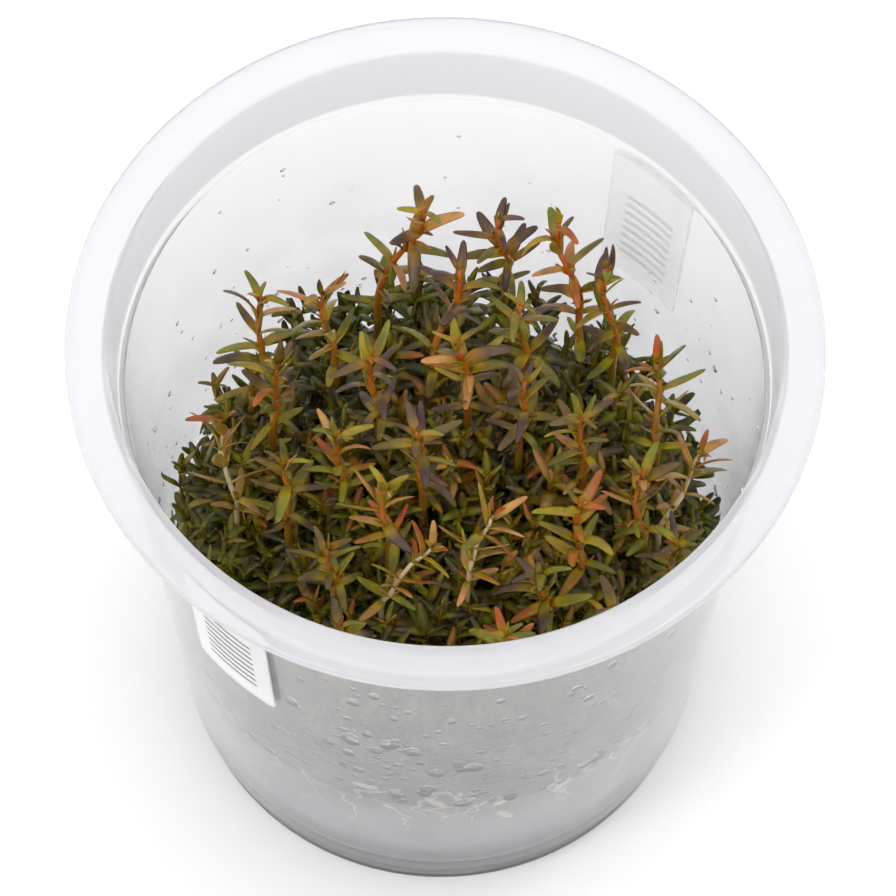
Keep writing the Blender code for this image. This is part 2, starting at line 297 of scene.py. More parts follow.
def build_blotches():
    """Blend two colours by cloudy noise."""
    group, start, end = new_group(
        "colour_blotches",
        [("Color", "Base", (1, 1, 1, 1)), ("Color", "Blotch", (0, 0, 0, 1)),
         ("Float", "Scale", 300.0), ("Float", "Amount", 0.5)],
        [("Color", "Color"), ("Float", "Mask")])
    cloud = span(group, own_noise(group, start, 3.0), 0.38, 0.66)
    share = calculate(group, "MULTIPLY", cloud, start.outputs["Amount"])
    colour = mix_colours(group, share, start.outputs["Base"], start.outputs["Blotch"])
    join(group, colour, end.inputs["Color"])
    join(group, share, end.inputs["Mask"])
    return group


def build_bumps():
    """Turn fine noise into a bumped normal."""
    group, start, end = new_group(
        "fine_bumps",
        [("Float", "Scale", 2000.0), ("Float", "Strength", 0.2), ("Float", "Distance", 0.0001)],
        [("Vector", "Normal")])
    bump = group.nodes.new("ShaderNodeBump")
    join(group, own_noise(group, start, 2.0), bump.inputs["Height"])
    join(group, start.outputs["Strength"], bump.inputs["Strength"])
    join(group, start.outputs["Distance"], bump.inputs["Distance"])
    join(group, bump.outputs["Normal"], end.inputs["Normal"])
    return group


blotches_group = build_blotches()
bumps_group = build_bumps()


def new_material(name, **settings):
    """Make a material and set plain values on its Principled shader, by socket name."""
    material = bpy.data.materials.new(name)
    material.use_nodes = True
    shader = material.node_tree.nodes["Principled BSDF"]
    for key, value in settings.items():
        shader.inputs[key.replace("_", " ")].default_value = value
    return material, material.node_tree, shader


def add_group(tree, group, **settings):
    """Place a shared group in a material with its own values."""
    node = tree.nodes.new("ShaderNodeGroup")
    node.node_tree = group
    for key, value in settings.items():
        node.inputs[key].default_value = value
    return node


def add_blotches(tree, base, blotch, scale, amount):
    """Place the blotches over a base that is a colour or the socket of one."""
    node = add_group(tree, blotches_group, Blotch=(*blotch, 1.0), Scale=scale, Amount=amount)
    if isinstance(base, tuple):
        node.inputs["Base"].default_value = (*base, 1.0)
    else:
        join(tree, base, node.inputs["Base"])
    return node.outputs["Color"], node.outputs["Mask"]


def add_bumps(tree, shader, scale, strength, distance=0.0001):
    """Give a shader the fine bumps and return their group, for a strength that varies."""
    node = add_group(tree, bumps_group, Scale=scale, Strength=strength, Distance=distance)
    join(tree, node.outputs["Normal"], shader.inputs["Normal"])
    return node


print("groups:", [group.name for group in (blotches_group, bumps_group)])

# %% [markdown]
# ## Milky plastic
# The cup is thin polypropylene. It lets most of the light through but scatters it, so what is
# behind it looks soft and pale. A rough transmission does that, and the part that isn't
# transmitted is the white of the plastic. The outside is smooth and the mist lies on the inside,
# so the wall's two faces get finishes of their own. The thicker rim gets a third.

# %% Finish the plastic
MIST_FULL, MIST_NONE = 0.056, 0.074   # metres above the table
# Heights where the painted shade low on the wall is full, and where it has faded out.
FOOT_SHADE_FULL, FOOT_SHADE_NONE = 0.006, 0.016
PLASTIC_IOR = 1.16   # low, because a thin wall hardly bends what is behind it


def build_body_plastic(name, through, smooth_bump, misty_bump):
    """Mostly transmitting and white in the rest: cloudy where the mist lies, and darkened low down by
    painted shade.

    The bumps are as strong as smooth_bump where the wall is dry and as misty_bump in the mist.
    """
    material, tree, shader = new_material(
        name, Transmission_Weight=through, IOR=PLASTIC_IOR, Specular_IOR_Level=0.6)
    height = height_above_table(tree)
    mist = span(tree, height, MIST_NONE, MIST_FULL)
    low = span(tree, height, FOOT_SHADE_NONE, FOOT_SHADE_FULL)
    clean, _ = add_blotches(tree, (0.915, 0.912, 0.920), (0.900, 0.897, 0.905), 60.0, 0.6)
    cloud, _ = add_blotches(tree, (0.93, 0.93, 0.94), (0.82, 0.82, 0.84), 110.0, 0.8)
    # Painted shade: these darker greys take over low on the wall, by the share in low.
    foot_shade, _ = add_blotches(tree, (0.60, 0.61, 0.63), (0.72, 0.73, 0.75), 110.0, 0.6)
    colour = mix_colours(tree, low, mix_colours(tree, mist, clean, cloud), foot_shade)
    join(tree, colour, shader.inputs["Base Color"])
    join(tree, span(tree, mist, 0.0, 1.0, 0.10, 0.03), shader.inputs["Roughness"])
    bumps = add_bumps(tree, shader, 2400.0, smooth_bump, 0.0002)
    join(tree, span(tree, mist, 0.0, 1.0, smooth_bump, misty_bump), bumps.inputs["Strength"])
    return material


def build_rim_plastic():
    """The same plastic where it is thicker: less light goes through and more is scattered."""
    material, tree, shader = new_material(
        "milky_rim", Transmission_Weight=0.58, IOR=PLASTIC_IOR, Specular_IOR_Level=0.6)
    colour, mask = add_blotches(tree, (0.855, 0.855, 0.88), (0.84, 0.84, 0.865), 60.0, 0.5)
    join(tree, colour, shader.inputs["Base Color"])
    join(tree, span(tree, mask, 0.0, 0.5, 0.08, 0.12), shader.inputs["Roughness"])
    add_bumps(tree, shader, 2400.0, 0.02, 0.0002)
    return material


outer_plastic = build_body_plastic("milky_plastic", 0.88, 0.02, 0.03)
misty_plastic = build_body_plastic("misty_plastic", 0.80, 0.02, 0.30)
rim_plastic = build_rim_plastic()
print("finishes:", outer_plastic.name, misty_plastic.name, rim_plastic.name)

# %% [markdown]
# ## The cup
# The real cup is pressed from one sheet, so every edge is softly rounded. It is a turned shape:
# one profile, from under the floor, up the outside, over the flange and back down the inside.
# Rounding the profile's corners before turning it gives the edges a real highlight.

# %% Turn the cup
CUP_SEGMENTS = 192
CUP_ROUNDING = 0.45
LEDGE_FALL = 0.3     # how far the ledge slopes down inwards
FLOOR_CURVE = 2.0    # height over which the wall turns into the floor
FLOOR_INSET = 1.4    # how far in it has turned


def cup_profile():
    """Corners of the cup's wall, outside and inside, in millimetres."""
    top, ledge = TOTAL_HEIGHT, TOTAL_HEIGHT - LEDGE_DROP
    crest = FLANGE_RADIUS - FLANGE_WIDTH
    upper = BODY_RADIUS_TOP + LEDGE_STEP
    foot_inside = FOOT_RADIUS - FOOT_WALL
    underside = FLOOR_HEIGHT - FLOOR_WALL
    skirt = FLANGE_RADIUS - SKIRT_WALL
    return [
        (0.0, underside), (foot_inside, underside), (foot_inside, 0.0), (FOOT_RADIUS, 0.0),
        (FOOT_RADIUS, RIDGE_HEIGHT - 0.3), (BODY_RADIUS_BOTTOM, RIDGE_HEIGHT),
        (BODY_RADIUS_TOP, ledge - LEDGE_STEP), (upper, ledge),
        (crest + WALL, top - FLANGE_THICKNESS), (skirt, top - FLANGE_THICKNESS),
        (skirt, top - SKIRT_DROP), (FLANGE_RADIUS, top - SKIRT_DROP), (FLANGE_RADIUS, top),
        (crest, top), (upper - WALL, ledge + LEDGE_FALL), (inner_radius(ledge), ledge),
        (inner_radius(FLOOR_HEIGHT + FLOOR_CURVE), FLOOR_HEIGHT + FLOOR_CURVE),
        (inner_radius(FLOOR_HEIGHT) - FLOOR_INSET, FLOOR_HEIGHT), (0.0, FLOOR_HEIGHT)]


points, faces = lathe(rounded(cup_profile(), CUP_ROUNDING), CUP_SEGMENTS)
corners = np.array([[face[0], face[2]] for face in faces])
above_ledge = points[corners, 2].min(axis=1) > TOTAL_HEIGHT - LEDGE_DROP - 0.1
height = points[corners, 2].mean(axis=1)
reach = np.hypot(points[corners, 0], points[corners, 1]).mean(axis=1)
inside = (reach < outer_radius(height) - WALL / 2) & (height > FLOOR_HEIGHT - 0.1)
make_piece("culture_cup", points, faces, [outer_plastic, misty_plastic, rim_plastic],
           replaces=["cup"], picks=np.where(above_ledge, 2, inside))
print("cup:", len(faces), "faces")

# %% [markdown]
# ## The gel
# The jelly was poured in warm and set in the cup, so it fills the bottom and creeps up the wall a
# little. It is cloudy and bluish, and its surface is wet.

# %% Pour the gel
GEL_GAP = 0.3
GEL_INSET = 2.4   # how far in the gel's bottom edge has turned
GEL_CURVE = 2.2   # height over which it turns
GEL_ROUNDING = 0.4
GEL_SEGMENTS = 128
MENISCUS = 1.2


def build_gel():
    """Cloudy jelly: bluish in the middle, darkened towards the floor by painted shade, and darker again
    near its top.
    """
    material, tree, shader = new_material(
        "culture_jelly", Roughness=0.12, Transmission_Weight=0.45, IOR=1.34)
    level = span(tree, height_above_table(tree), FLOOR_HEIGHT * MM, GEL_TOP * MM)
    # Painted shade: the lowest stops darken the jelly towards the floor; the middle ones are its bluish
    # tint.
    tint_and_floor_shade = ramp(tree, level, [(0.0, (0.10, 0.11, 0.12)), (0.20, (0.16, 0.17, 0.19)),
                                (0.34, (0.34, 0.37, 0.43)), (0.62, (0.34, 0.37, 0.42)),
                                (0.90, (0.20, 0.21, 0.19))])
    colour, _ = add_blotches(tree, tint_and_floor_shade, (0.50, 0.50, 0.48), 150.0, 0.35)
    join(tree, colour, shader.inputs["Base Color"])
    return material


gel_corners = [
    (0.0, FLOOR_HEIGHT + GEL_GAP), (inner_radius(FLOOR_HEIGHT) - GEL_INSET, FLOOR_HEIGHT + GEL_GAP),
    (inner_radius(FLOOR_HEIGHT + GEL_CURVE) - GEL_GAP, FLOOR_HEIGHT + GEL_CURVE),
    (inner_radius(GEL_TOP) - GEL_GAP, GEL_TOP),
    (inner_radius(GEL_TOP) - MENISCUS, GEL_TOP - MENISCUS / 2), (0.0, GEL_TOP - MENISCUS / 2)]
points, faces = lathe(rounded(gel_corners, GEL_ROUNDING), GEL_SEGMENTS)
make_piece("culture_jelly", points, faces, [build_gel()], replaces=["culture_gel"])
print("gel:", len(faces), "faces")

# %% [markdown]
# ## Leaf and stem colours
# A leaf is yellow-green where it leaves the stem and darkens to brown purple towards its tip.
# Leaves deep in the cup stay dark green, and those near the light turn red and orange. The green of
# the deep leaves is painted lighter, as painted light against the shade deep in the growth. Four
# numbers are stored on every point for this: how far along the leaf it is, how high it sits,
# whether it is on the underside, and a tone of its own.

# %% Finishes for leaves and stems


def read_value(tree, name):
    """Read a number that is stored on the points."""
    node = tree.nodes.new("ShaderNodeAttribute")
    node.attribute_name = name
    return node.outputs["Fac"]


def build_leaf():
    """Waxy leaf: colour by height in the cup, by place along the leaf and by the leaf's tone."""
    material, tree, shader = new_material(
        "waxy_leaf", Specular_IOR_Level=0.30, Coat_Weight=0.05, Coat_Roughness=0.25)
    height, tone, along, under = (
        read_value(tree, name) for name in ("height", "tone", "along", "under"))
    # Painted light: the lowest stop, for leaves deep in the growth, is made lighter to make up for the
    # shade there.
    blade = ramp(tree, height, [(0.0, (0.120, 0.170, 0.028)), (0.45, (0.120, 0.130, 0.020)),
                                (0.75, (0.120, 0.076, 0.030)), (1.0, (0.130, 0.062, 0.040))])
    warm = ramp(tree, tone, [(0.0, (0.058, 0.034, 0.032)), (0.28, (0.110, 0.062, 0.042)),
                             (0.45, (0.150, 0.105, 0.014)), (0.60, (0.200, 0.230, 0.004)),
                             (0.76, (0.440, 0.330, 0.004)), (0.90, (0.520, 0.070, 0.004)),
                             (1.0, (0.660, 0.320, 0.090))])
    top = mix_colours(tree, span(tree, height, 0.0, 0.8, 0.22, 0.78), blade, warm)
    back = ramp(tree, height, [(0.0, (0.120, 0.170, 0.012)), (0.5, (0.200, 0.230, 0.008)),
                               (1.0, (0.280, 0.220, 0.010))])
    body = mix_colours(tree, span(tree, under, 0.0, 1.0, 0.0, 0.75), top, back)
    base = ramp(tree, height, [(0.0, (0.200, 0.270, 0.008)), (0.6, (0.460, 0.380, 0.004)),
                               (1.0, (0.520, 0.250, 0.004))])
    blade_colour = mix_colours(tree, span(tree, along, 0.05, 0.55, 0.90, 0.0), body, base)
    colour, mask = add_blotches(tree, blade_colour, (0.040, 0.022, 0.018), 520.0, 0.40)
    join(tree, colour, shader.inputs["Base Color"])
    join(tree, span(tree, mask, 0.0, 1.0, 0.28, 0.50), shader.inputs["Roughness"])
    add_bumps(tree, shader, 2600.0, 0.25)
    return material


PALE_TONE = 0.88   # stems with a tone above this are cream


def build_stem():
    """Fleshy stem: green and dull below, amber to red towards the light, cream where pale."""
    material, tree, shader = new_material(
        "fleshy_stem", Specular_IOR_Level=0.5, Coat_Weight=0.15, Roughness=0.38)
    height, tone = read_value(tree, "height"), read_value(tree, "tone")
    ripe = ramp(tree, height, [(0.0, (0.110, 0.120, 0.006)), (0.5, (0.330, 0.190, 0.006)),
                               (1.0, (0.520, 0.110, 0.004))])
    pale = ramp(tree, height, [(0.0, (0.420, 0.420, 0.200)), (1.0, (0.700, 0.580, 0.330))])
    skin = mix_colours(tree, span(tree, tone, PALE_TONE, PALE_TONE + 0.02), ripe, pale)
    colour, _ = add_blotches(tree, skin, (0.300, 0.036, 0.006), 260.0, 0.45)
    join(tree, colour, shader.inputs["Base Color"])
    add_bumps(tree, shader, 1800.0, 0.2)
    return material


leaf_material = build_leaf()
stem_material = build_stem()
print("finishes:", leaf_material.name, stem_material.name)

# %% [markdown]
# ## How a shoot is worked out
# Rotala carries its leaves in opposite pairs, each pair at right angles to the one below. So a
# whole shoot follows from a few numbers: where it roots, where its tip is, how many pairs it has
# and how long its leaves are. The functions below take arrays of those numbers, and make any
# number of shoots at once.

# %% Shape stems
UPWARDS = np.array([0.0, 0.0, 1.0])


def stem_axis(root, tip, share, swing):
    """Points along stems: height grows evenly, and the lean follows 3s^2 - 2s^3.

    Each stem also swings sideways by 4s(1-s) times the sine of 6s plus its own phase, which is
    nought at both ends. Below a share of 0 a stem goes straight down.
    """
    share = np.asarray(share, dtype=float)
    held = np.clip(share, 0.0, 1.0)
    lean = (held ** 2 * (3.0 - 2.0 * held))[..., None]
    flat = (tip - root)[:, None, :] * np.array([1.0, 1.0, 0.0]) * lean
    rise = (tip - root)[:, None, :] * UPWARDS * share[..., None]
    size, phase = swing[:, :1], swing[:, 1:]
    reach = size * 4.0 * held * (1.0 - held)
    side = np.stack([reach * np.sin(6.0 * held + phase), reach * np.cos(6.0 * held + phase),
                     0.0 * reach], axis=-1)
    return root[:, None, :] + flat + rise + side


def tubes(paths, radii, sides):
    """Carry a circle along each path: point = centre + r (cos a * side + sin a * other)."""
    along = unit(np.gradient(paths, axis=1))
    reference = np.array([0.83, 0.55, 0.0])
    side = unit(np.cross(along, reference))
    other = np.cross(along, side)
    angle = np.linspace(0.0, 2.0 * np.pi, sides, endpoint=False)[:, None]
    ring = side[:, :, None] * np.cos(angle) + other[:, :, None] * np.sin(angle)
    return paths[:, :, None] + ring * radii[:, :, None, None]


print("a stem is one tube along a leaning, swinging line")

# %% [markdown]
# A leaf is a narrow closed blade that bends, sways and folds. Its shape is worked out for all
# leaves of all shoots in one go.

# %% Shape leaves
LEAF_GAP = 0.4                       # mm between a leaf and the wall
LIGHT_LOW, LIGHT_HIGH = 37.0, 72.0   # mm above the table


def leaf_shares(rows):
    """Places of a leaf's rows along it, 1 - (1 - t)^2: closer together near the blunt tip."""
    return 1.0 - (1.0 - np.linspace(0.0, 1.0, rows)) ** 2


def blades(origin, forward, up, length, width, bend, sway, fold, rows=7, columns=6):
    """Shape leaves: half width at a share s is w (0.6 + 0.4 sin(pi s^0.7)^1.5) (1 - s^16)^0.5.

    The middle line is an arc: ahead = L sin(b s) / b and down = L (1 - cos(b s)) / b for a bend
    of b radians, and it sways sideways by k L s^2. The edges are lifted by the fold, and the
    section is a flat closed ring, thickest in the middle.
    """
    share = leaf_shares(rows)[None, :, None]
    angle = np.linspace(0.0, 2.0 * np.pi, columns, endpoint=False)[None, None, :]
    length, width, bend, sway, fold = (
        values[:, None, None] for values in (length, width, bend, sway, fold))
    half = width * (0.6 + 0.4 * np.sin(np.pi * share ** 0.7) ** 1.5)
    half = np.maximum(half * np.sqrt(1.0 - share ** 16), 0.26 * width)
    across = np.cos(angle) * half + sway * length * share ** 2
    raised = np.sin(angle) * np.maximum(0.22 * half, 0.05)
    raised = raised + fold * (1.0 - 0.6 * share) * np.abs(np.cos(angle)) * half
    turned = bend * share
    ahead = length * share * np.sinc(turned / np.pi) + raised * np.sin(turned)
    lifted = raised * np.cos(turned) - 0.5 * length * bend * (share * np.sinc(turned / (2 * np.pi))) ** 2
    side = np.cross(up, forward)
    return (origin[:, None, None] + forward[:, None, None] * ahead[..., None]
            + side[:, None, None] * across[..., None] + up[:, None, None] * lifted[..., None])


def keep_inside(points, gap):
    """Press points that would be in the wall back to its inside, less a small gap."""
    reach = np.hypot(points[:, 0], points[:, 1])
    scale = np.minimum(1.0, (inner_radius(points[:, 2]) - gap) / np.maximum(reach, 1e-6))
    return points * np.stack([scale, scale, np.ones_like(scale)], axis=-1)


def light_share(height):
    """How much light reaches a height in the cup: 0 deep in the growth, 1 at the tallest tips."""
    return np.clip((height - LIGHT_LOW) / (LIGHT_HIGH - LIGHT_LOW), 0.0, 1.0)


print("helpers for leaves are ready")

# %% [markdown]
# A shoot is put together from both. Nothing about it is even in nature: the places of its pairs,
# their turn, the rise of each leaf and its length all get a random share from one generator.

# %% Grow whole shoots


def grow(root, tip, turn, pairs, length, tone, generator, sides=6, rows=7, columns=6,
         lowest=0.0, radius=0.42, first=0.1, slim=0.16, swing=0.5):
    """Grow shoots and return points, faces, material numbers and the stored values.

    root and tip are arrays of places in millimetres, turn, length and tone arrays of one number
    for each shoot. Pair p sits at an even share of the stem and is turned by p right angles. In
    the corner above each leaf sits a second, much smaller and steeper one: a bud.
    """
    count = len(root)
    swings = np.stack([swing * generator.uniform(0.5, 1.5, count),
                       generator.uniform(0.0, 2.0 * np.pi, count)], axis=-1)
    steps = np.linspace(0.0, 1.0, 4 + 2 * pairs)
    low = np.broadcast_to(np.asarray(lowest, dtype=float), (count,))[:, None]
    share = low + (1.0 - low) * steps
    paths = stem_axis(root, tip, share, swings)
    radii = radius * (1.0 - 0.55 * np.clip(share, 0.0, 1.0) ** 1.5) * (1.0 + 0.0 * share)
    tube = tubes(paths, radii, sides)

    pair = np.arange(pairs)
    even = first + (0.985 - first) * (pair / (pairs - 1)) ** 0.85
    spots = np.clip(even + generator.normal(0.0, 0.018, (count, pairs)), 0.0, 0.99)
    centre = stem_axis(root, tip, spots, swings)
    along = unit(stem_axis(root, tip, spots + 0.01, swings) - stem_axis(root, tip, spots - 0.01, swings))
    shape = (count, pairs, 4)
    bud = np.array([0.0, 0.0, 1.0, 1.0])
    angle = turn[:, None, None] + (pair[:, None] + np.array([0, 2, 0, 2])) * np.pi / 2
    angle = angle + generator.normal(0.0, 0.30, shape) + bud * generator.normal(0.0, 0.5, shape)
    late = even[None, :, None] ** 2.2
    rise = np.radians(14.0 + 44.0 * late + 34.0 * bud * (1.0 - late) + generator.normal(0.0, 18.0, shape))
    size = length[:, None, None] * (0.86 + 0.40 * even[:, None] - 0.62 * even[:, None] ** 6)
    size = size * generator.uniform(0.78, 1.15, shape)
    size = size * (1.0 - bud * generator.uniform(0.45, 0.75, shape))
    flat = np.stack([np.cos(angle), np.sin(angle), 0.0 * angle], axis=-1)
    stem_up = along[:, :, None]
    outward = unit(flat - stem_up * np.sum(flat * stem_up, axis=-1, keepdims=True))
    forward = outward * np.cos(rise)[..., None] + stem_up * np.sin(rise)[..., None]
    up = stem_up * np.cos(rise)[..., None] - outward * np.sin(rise)[..., None]
    origin = centre[:, :, None] + outward * radius * 0.3
    total = count * pairs * 4
    leaf = blades(origin.reshape(total, 3), forward.reshape(total, 3), up.reshape(total, 3),
                  size.ravel(), size.ravel() * generator.uniform(0.85, 1.2, total) * slim,
                  generator.normal(0.35, 0.55, total), generator.normal(0.0, 0.12, total),
                  generator.uniform(0.1, 0.6, total), rows, columns)

    faces = grid_faces(count, share.shape[1], sides).tolist() + end_faces(count, share.shape[1], sides)
    leaf_faces = grid_faces(total, rows, columns).tolist() + end_faces(total, rows, columns)
    offset = tube.reshape(-1, 3).shape[0]
    picks = [1] * len(faces) + [0] * len(leaf_faces)
    faces += (np.array(leaf_faces[:total * (rows - 1) * columns]) + offset).tolist()
    faces += [[number + offset for number in ring] for ring in leaf_faces[total * (rows - 1) * columns:]]
    points = keep_inside(np.concatenate([tube.reshape(-1, 3), leaf.reshape(-1, 3)]), LEAF_GAP)

    leaf_tone = tone[:, None, None] + generator.normal(0.0, 0.20, shape) + 0.24 * bud * (0.3 + 0.7 * late)
    leaf_share = (leaf_shares(rows)[None, :, None] + np.zeros((total, 1, columns))).ravel()
    below = np.sin(np.linspace(0.0, 2.0 * np.pi, columns, endpoint=False)) < -0.1
    values = {
        "under": np.concatenate([np.zeros(offset), np.tile(below, total * rows)]),
        "along": np.concatenate([np.zeros(offset), leaf_share]),
        "tone": np.concatenate([np.repeat(tone, share.shape[1] * sides),
                                np.repeat(np.clip(leaf_tone, 0.0, 1.0).ravel(), rows * columns)]),
        "height": light_share(points[:, 2]),
    }
    return points, faces, picks, values


print("a shoot's leaves and buds grow in fours")

# %% [markdown]
# ## The tall stems
# These are the stems that make the outline of the plant, so each stands where its plain solid
# stands: the same tip, the same lean and the same leaf length. Each goes down through the low
# growth to the gel.

# %% Grow the tall stems
EXTRA_PAIRS = 4
LENGTH_GAIN = 1.12
THICK_STEM, THIN_STEM = 0.54, 0.38
# Tip x, y, z; root less tip in x and y; turn of the lowest pair; pairs; leaf length; tone.
TALL_STEMS = (
    (-3.2, 26.1, 78.5, -6.0, -2.0, 8, 5, 5.4, 0.55),
    (6.8, 25.8, 77.5, 1.0, 1.2, 12, 5, 4.6, 0.35),
    (14.4, 24.2, 79.0, 3.5, -5.5, 95, 5, 5.0, 0.70),
    (20.8, 20.6, 74.0, 1.5, -4.0, 40, 4, 4.8, 0.50),
    (1.6, 20.0, 74.5, -3.0, -6.5, 70, 4, 4.8, 0.30),
    (-24.0, 17.0, 71.0, -1.5, -6.0, 20, 5, 5.2, 0.60),
    (-16.2, 18.8, 69.0, 1.5, -5.0, 65, 4, 5.0, 0.65),
    (27.6, 11.0, 66.5, 0.5, -7.5, 15, 4, 5.0, 0.75),
    (-29.0, 2.2, 65.0, 2.0, -8.5, 5, 4, 5.2, 0.95),
    (33.4, -1.6, 66.0, -5.0, -6.5, 30, 4, 4.6, 0.92),
    (-7.3, -9.8, 69.5, 0.5, -3.5, 25, 4, 4.8, 0.75),
    (-1.2, -17.6, 68.5, -6.5, -2.5, 80, 4, 4.4, 0.95),
    (6.4, -13.4, 70.0, -3.0, -5.0, 45, 4, 4.6, 0.92),
    (12.8, -19.4, 66.0, 1.0, -2.0, 10, 4, 4.8, 0.45),
    (17.6, -11.6, 70.0, 0.5, -3.0, 60, 4, 4.8, 0.75),
    (-3.6, -2.4, 71.0, 1.0, -3.0, 100, 4, 5.0, 0.35),
    (-21.6, 8.6, 68.5, -1.0, -4.0, 50, 4, 5.0, 0.55),
    (-9.6, 8.0, 72.0, 1.0, -3.5, 35, 4, 5.0, 0.40),
    (1.6, 9.4, 74.0, 1.5, -2.5, 5, 5, 5.0, 0.60),
    (10.4, 5.6, 70.5, -0.5, -3.0, 75, 4, 4.8, 0.30),
    (25.4, -6.2, 68.5, 1.0, -3.0, 85, 4, 4.8, 0.70),
    (30.2, -14.0, 64.5, 0.0, -1.0, 55, 4, 4.4, 0.40),
    (-14.6, -17.4, 67.5, 1.0, -2.5, 95, 4, 4.6, 0.55),
    (-20.6, -5.8, 68.5, 0.5, -3.5, 70, 4, 4.8, 0.45),
    (-12.8, -27.4, 65.5, 0.5, 1.5, 15, 3, 4.4, 0.30),
    (8.4, -28.2, 66.0, 0.5, 1.0, 40, 3, 4.4, 0.60),
    (22.0, -24.0, 65.0, -0.5, 1.0, 20, 3, 4.4, 0.35),
    (17.8, 1.4, 69.0, 0.5, -2.5, 30, 4, 4.8, 0.50),
    (9.8, 15.6, 73.0, 0.5, -3.0, 55, 4, 5.0, 0.55),
    (-13.6, -1.8, 68.5, 0.5, -2.5, 15, 4, 4.8, 0.60),
)


def grow_tall_stems():
    """Make one piece for each tall stem, in place of its plain solid."""
    generator = np.random.default_rng(SEED)
    total = 0
    for number, row in enumerate(TALL_STEMS, start=1):
        node = f"stem_{number:02d}"
        tip = np.array([row[:3]])
        root_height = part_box(node)[0][2] / MM
        root = np.array([[row[0] + row[3], row[1] + row[4], root_height]])
        below = -(root_height - GEL_TOP + 1.0) / (tip[0, 2] - root_height)
        thick = THIN_STEM if row[8] > PALE_TONE else THICK_STEM
        points, faces, picks, values = grow(
            root, tip, np.radians([row[5]]), row[6] + EXTRA_PAIRS, np.array([row[7]]) * LENGTH_GAIN,
            np.array([row[8]]), generator, sides=8, rows=8, columns=6, lowest=below, radius=thick,
            first=0.03, slim=0.135, swing=0.7)
        make_piece(f"rotala_{node}", points, faces, [leaf_material, stem_material],
                   replaces=[node], values=values, picks=picks)
        total += len(faces)
    return total


print("tall stems:", len(TALL_STEMS), "pieces,", grow_tall_stems(), "faces")

# %% [markdown]
# ## The low growth
# Under the tall stems the cup is packed with small shoots. Their places follow the seed pattern
# of a sunflower, shaken a little, which fills a circle evenly. Each shoot's tip is where a line
# straight down meets the plain heap that stands for them.

# %% Plant the low shoots
PATTERN = 350
LOW_SHOOTS = 310
SHOOT_PAIRS = 6
BRIGHT_SHOOTS = 0.22   # share of the shoots that have caught light
GOLDEN_ANGLE = math.pi * (3.0 - math.sqrt(5.0))


def heap_height(places):
    """Height of the plain heap under each place, read by a ray from above."""
    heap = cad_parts["low_growth"]
    down = Vector((0.0, 0.0, -1.0))
    heights = []
    for x, y in places:
        hit, where, _, _ = heap.ray_cast(Vector((x * MM, y * MM, TOTAL_HEIGHT * MM)), down)
        heights.append(where.z / MM if hit else GEL_TOP + 8.0)
    return np.array(heights)


def plant_low_growth():
    """Grow the low shoots in place of the heap, as one piece for each third of the pattern."""
    generator = np.random.default_rng(SEED + 1)
    number = np.arange(PATTERN)
    kept = (generator.random(PATTERN) < 0.72) | (np.sin(number * GOLDEN_ANGLE) < 0.35)
    number = number[kept][:LOW_SHOOTS]
    radius = (GROWTH_REACH - 2.2) * np.sqrt((number + 0.5) / PATTERN)
    angle = number * GOLDEN_ANGLE
    spots = np.stack([radius * np.cos(angle), radius * np.sin(angle)], axis=-1)
    spots += generator.normal(0.0, 0.7, spots.shape)
    top = heap_height(spots) + generator.uniform(-6.0, 0.8, LOW_SHOOTS)
    top -= np.clip((spots[:, 1] - 4.0) / 5.0, 0.0, 4.5) * generator.uniform(0.1, 1.1, LOW_SHOOTS)
    lean = generator.normal(0.0, 3.2, spots.shape)
    outward = 1.0 + 0.06 * (radius[:, None] / GROWTH_REACH) ** 4
    tip = np.concatenate([spots * outward, top[:, None]], axis=-1)
    root = np.concatenate([spots + lean, np.full((LOW_SHOOTS, 1), GEL_TOP - 1.5)], axis=-1)
    reach = np.hypot(root[:, 0], root[:, 1])
    root[:, :2] *= np.minimum(1.0, (GROWTH_REACH - 1.0) / reach)[:, None]
    tone = generator.beta(1.1, 2.2, LOW_SHOOTS)
    lit = generator.random(LOW_SHOOTS) < BRIGHT_SHOOTS
    tone = np.where(lit, generator.uniform(0.60, 0.86, LOW_SHOOTS), tone)
    total = 0
    for part in range(3):
        chosen = slice(part, None, 3)
        many = len(root[chosen])
        points, faces, picks, values = grow(
            root[chosen], tip[chosen], generator.uniform(0.0, np.pi, many), SHOOT_PAIRS,
            generator.uniform(3.9, 5.6, many), tone[chosen], generator,
            sides=4, rows=6, columns=4, radius=0.36, first=0.42, slim=0.145, swing=0.9)
        make_piece(f"low_shoots_{part + 1}", points, faces, [leaf_material, stem_material],
                   replaces=["low_growth"], values=values, picks=picks)
        total += len(faces)
    return total


print("low growth:", LOW_SHOOTS, "shoots,", plant_low_growth(), "faces")

# %% [markdown]
# ## Roots at the glass
# Thin cream roots run down between the gel and the wall, and a few pale leaves that never saw
# light are pressed against it. A root is a tube along a slow random walk round the gel.

# %% Lay the roots and the pale leaves
ROOTS = 60
PALE_LEAVES = 46
ROOT_GAP = 0.1


def wall_frame(angle, height, depth):
    """Places at a depth inside the wall, with the directions outwards, round and up."""
    outward = np.stack([np.cos(angle), np.sin(angle), 0.0 * angle], axis=-1)
    around = np.stack([-np.sin(angle), np.cos(angle), 0.0 * angle], axis=-1)
    place = outward * (inner_radius(height) - depth)[..., None]
    return place + height[..., None] * UPWARDS, outward, around


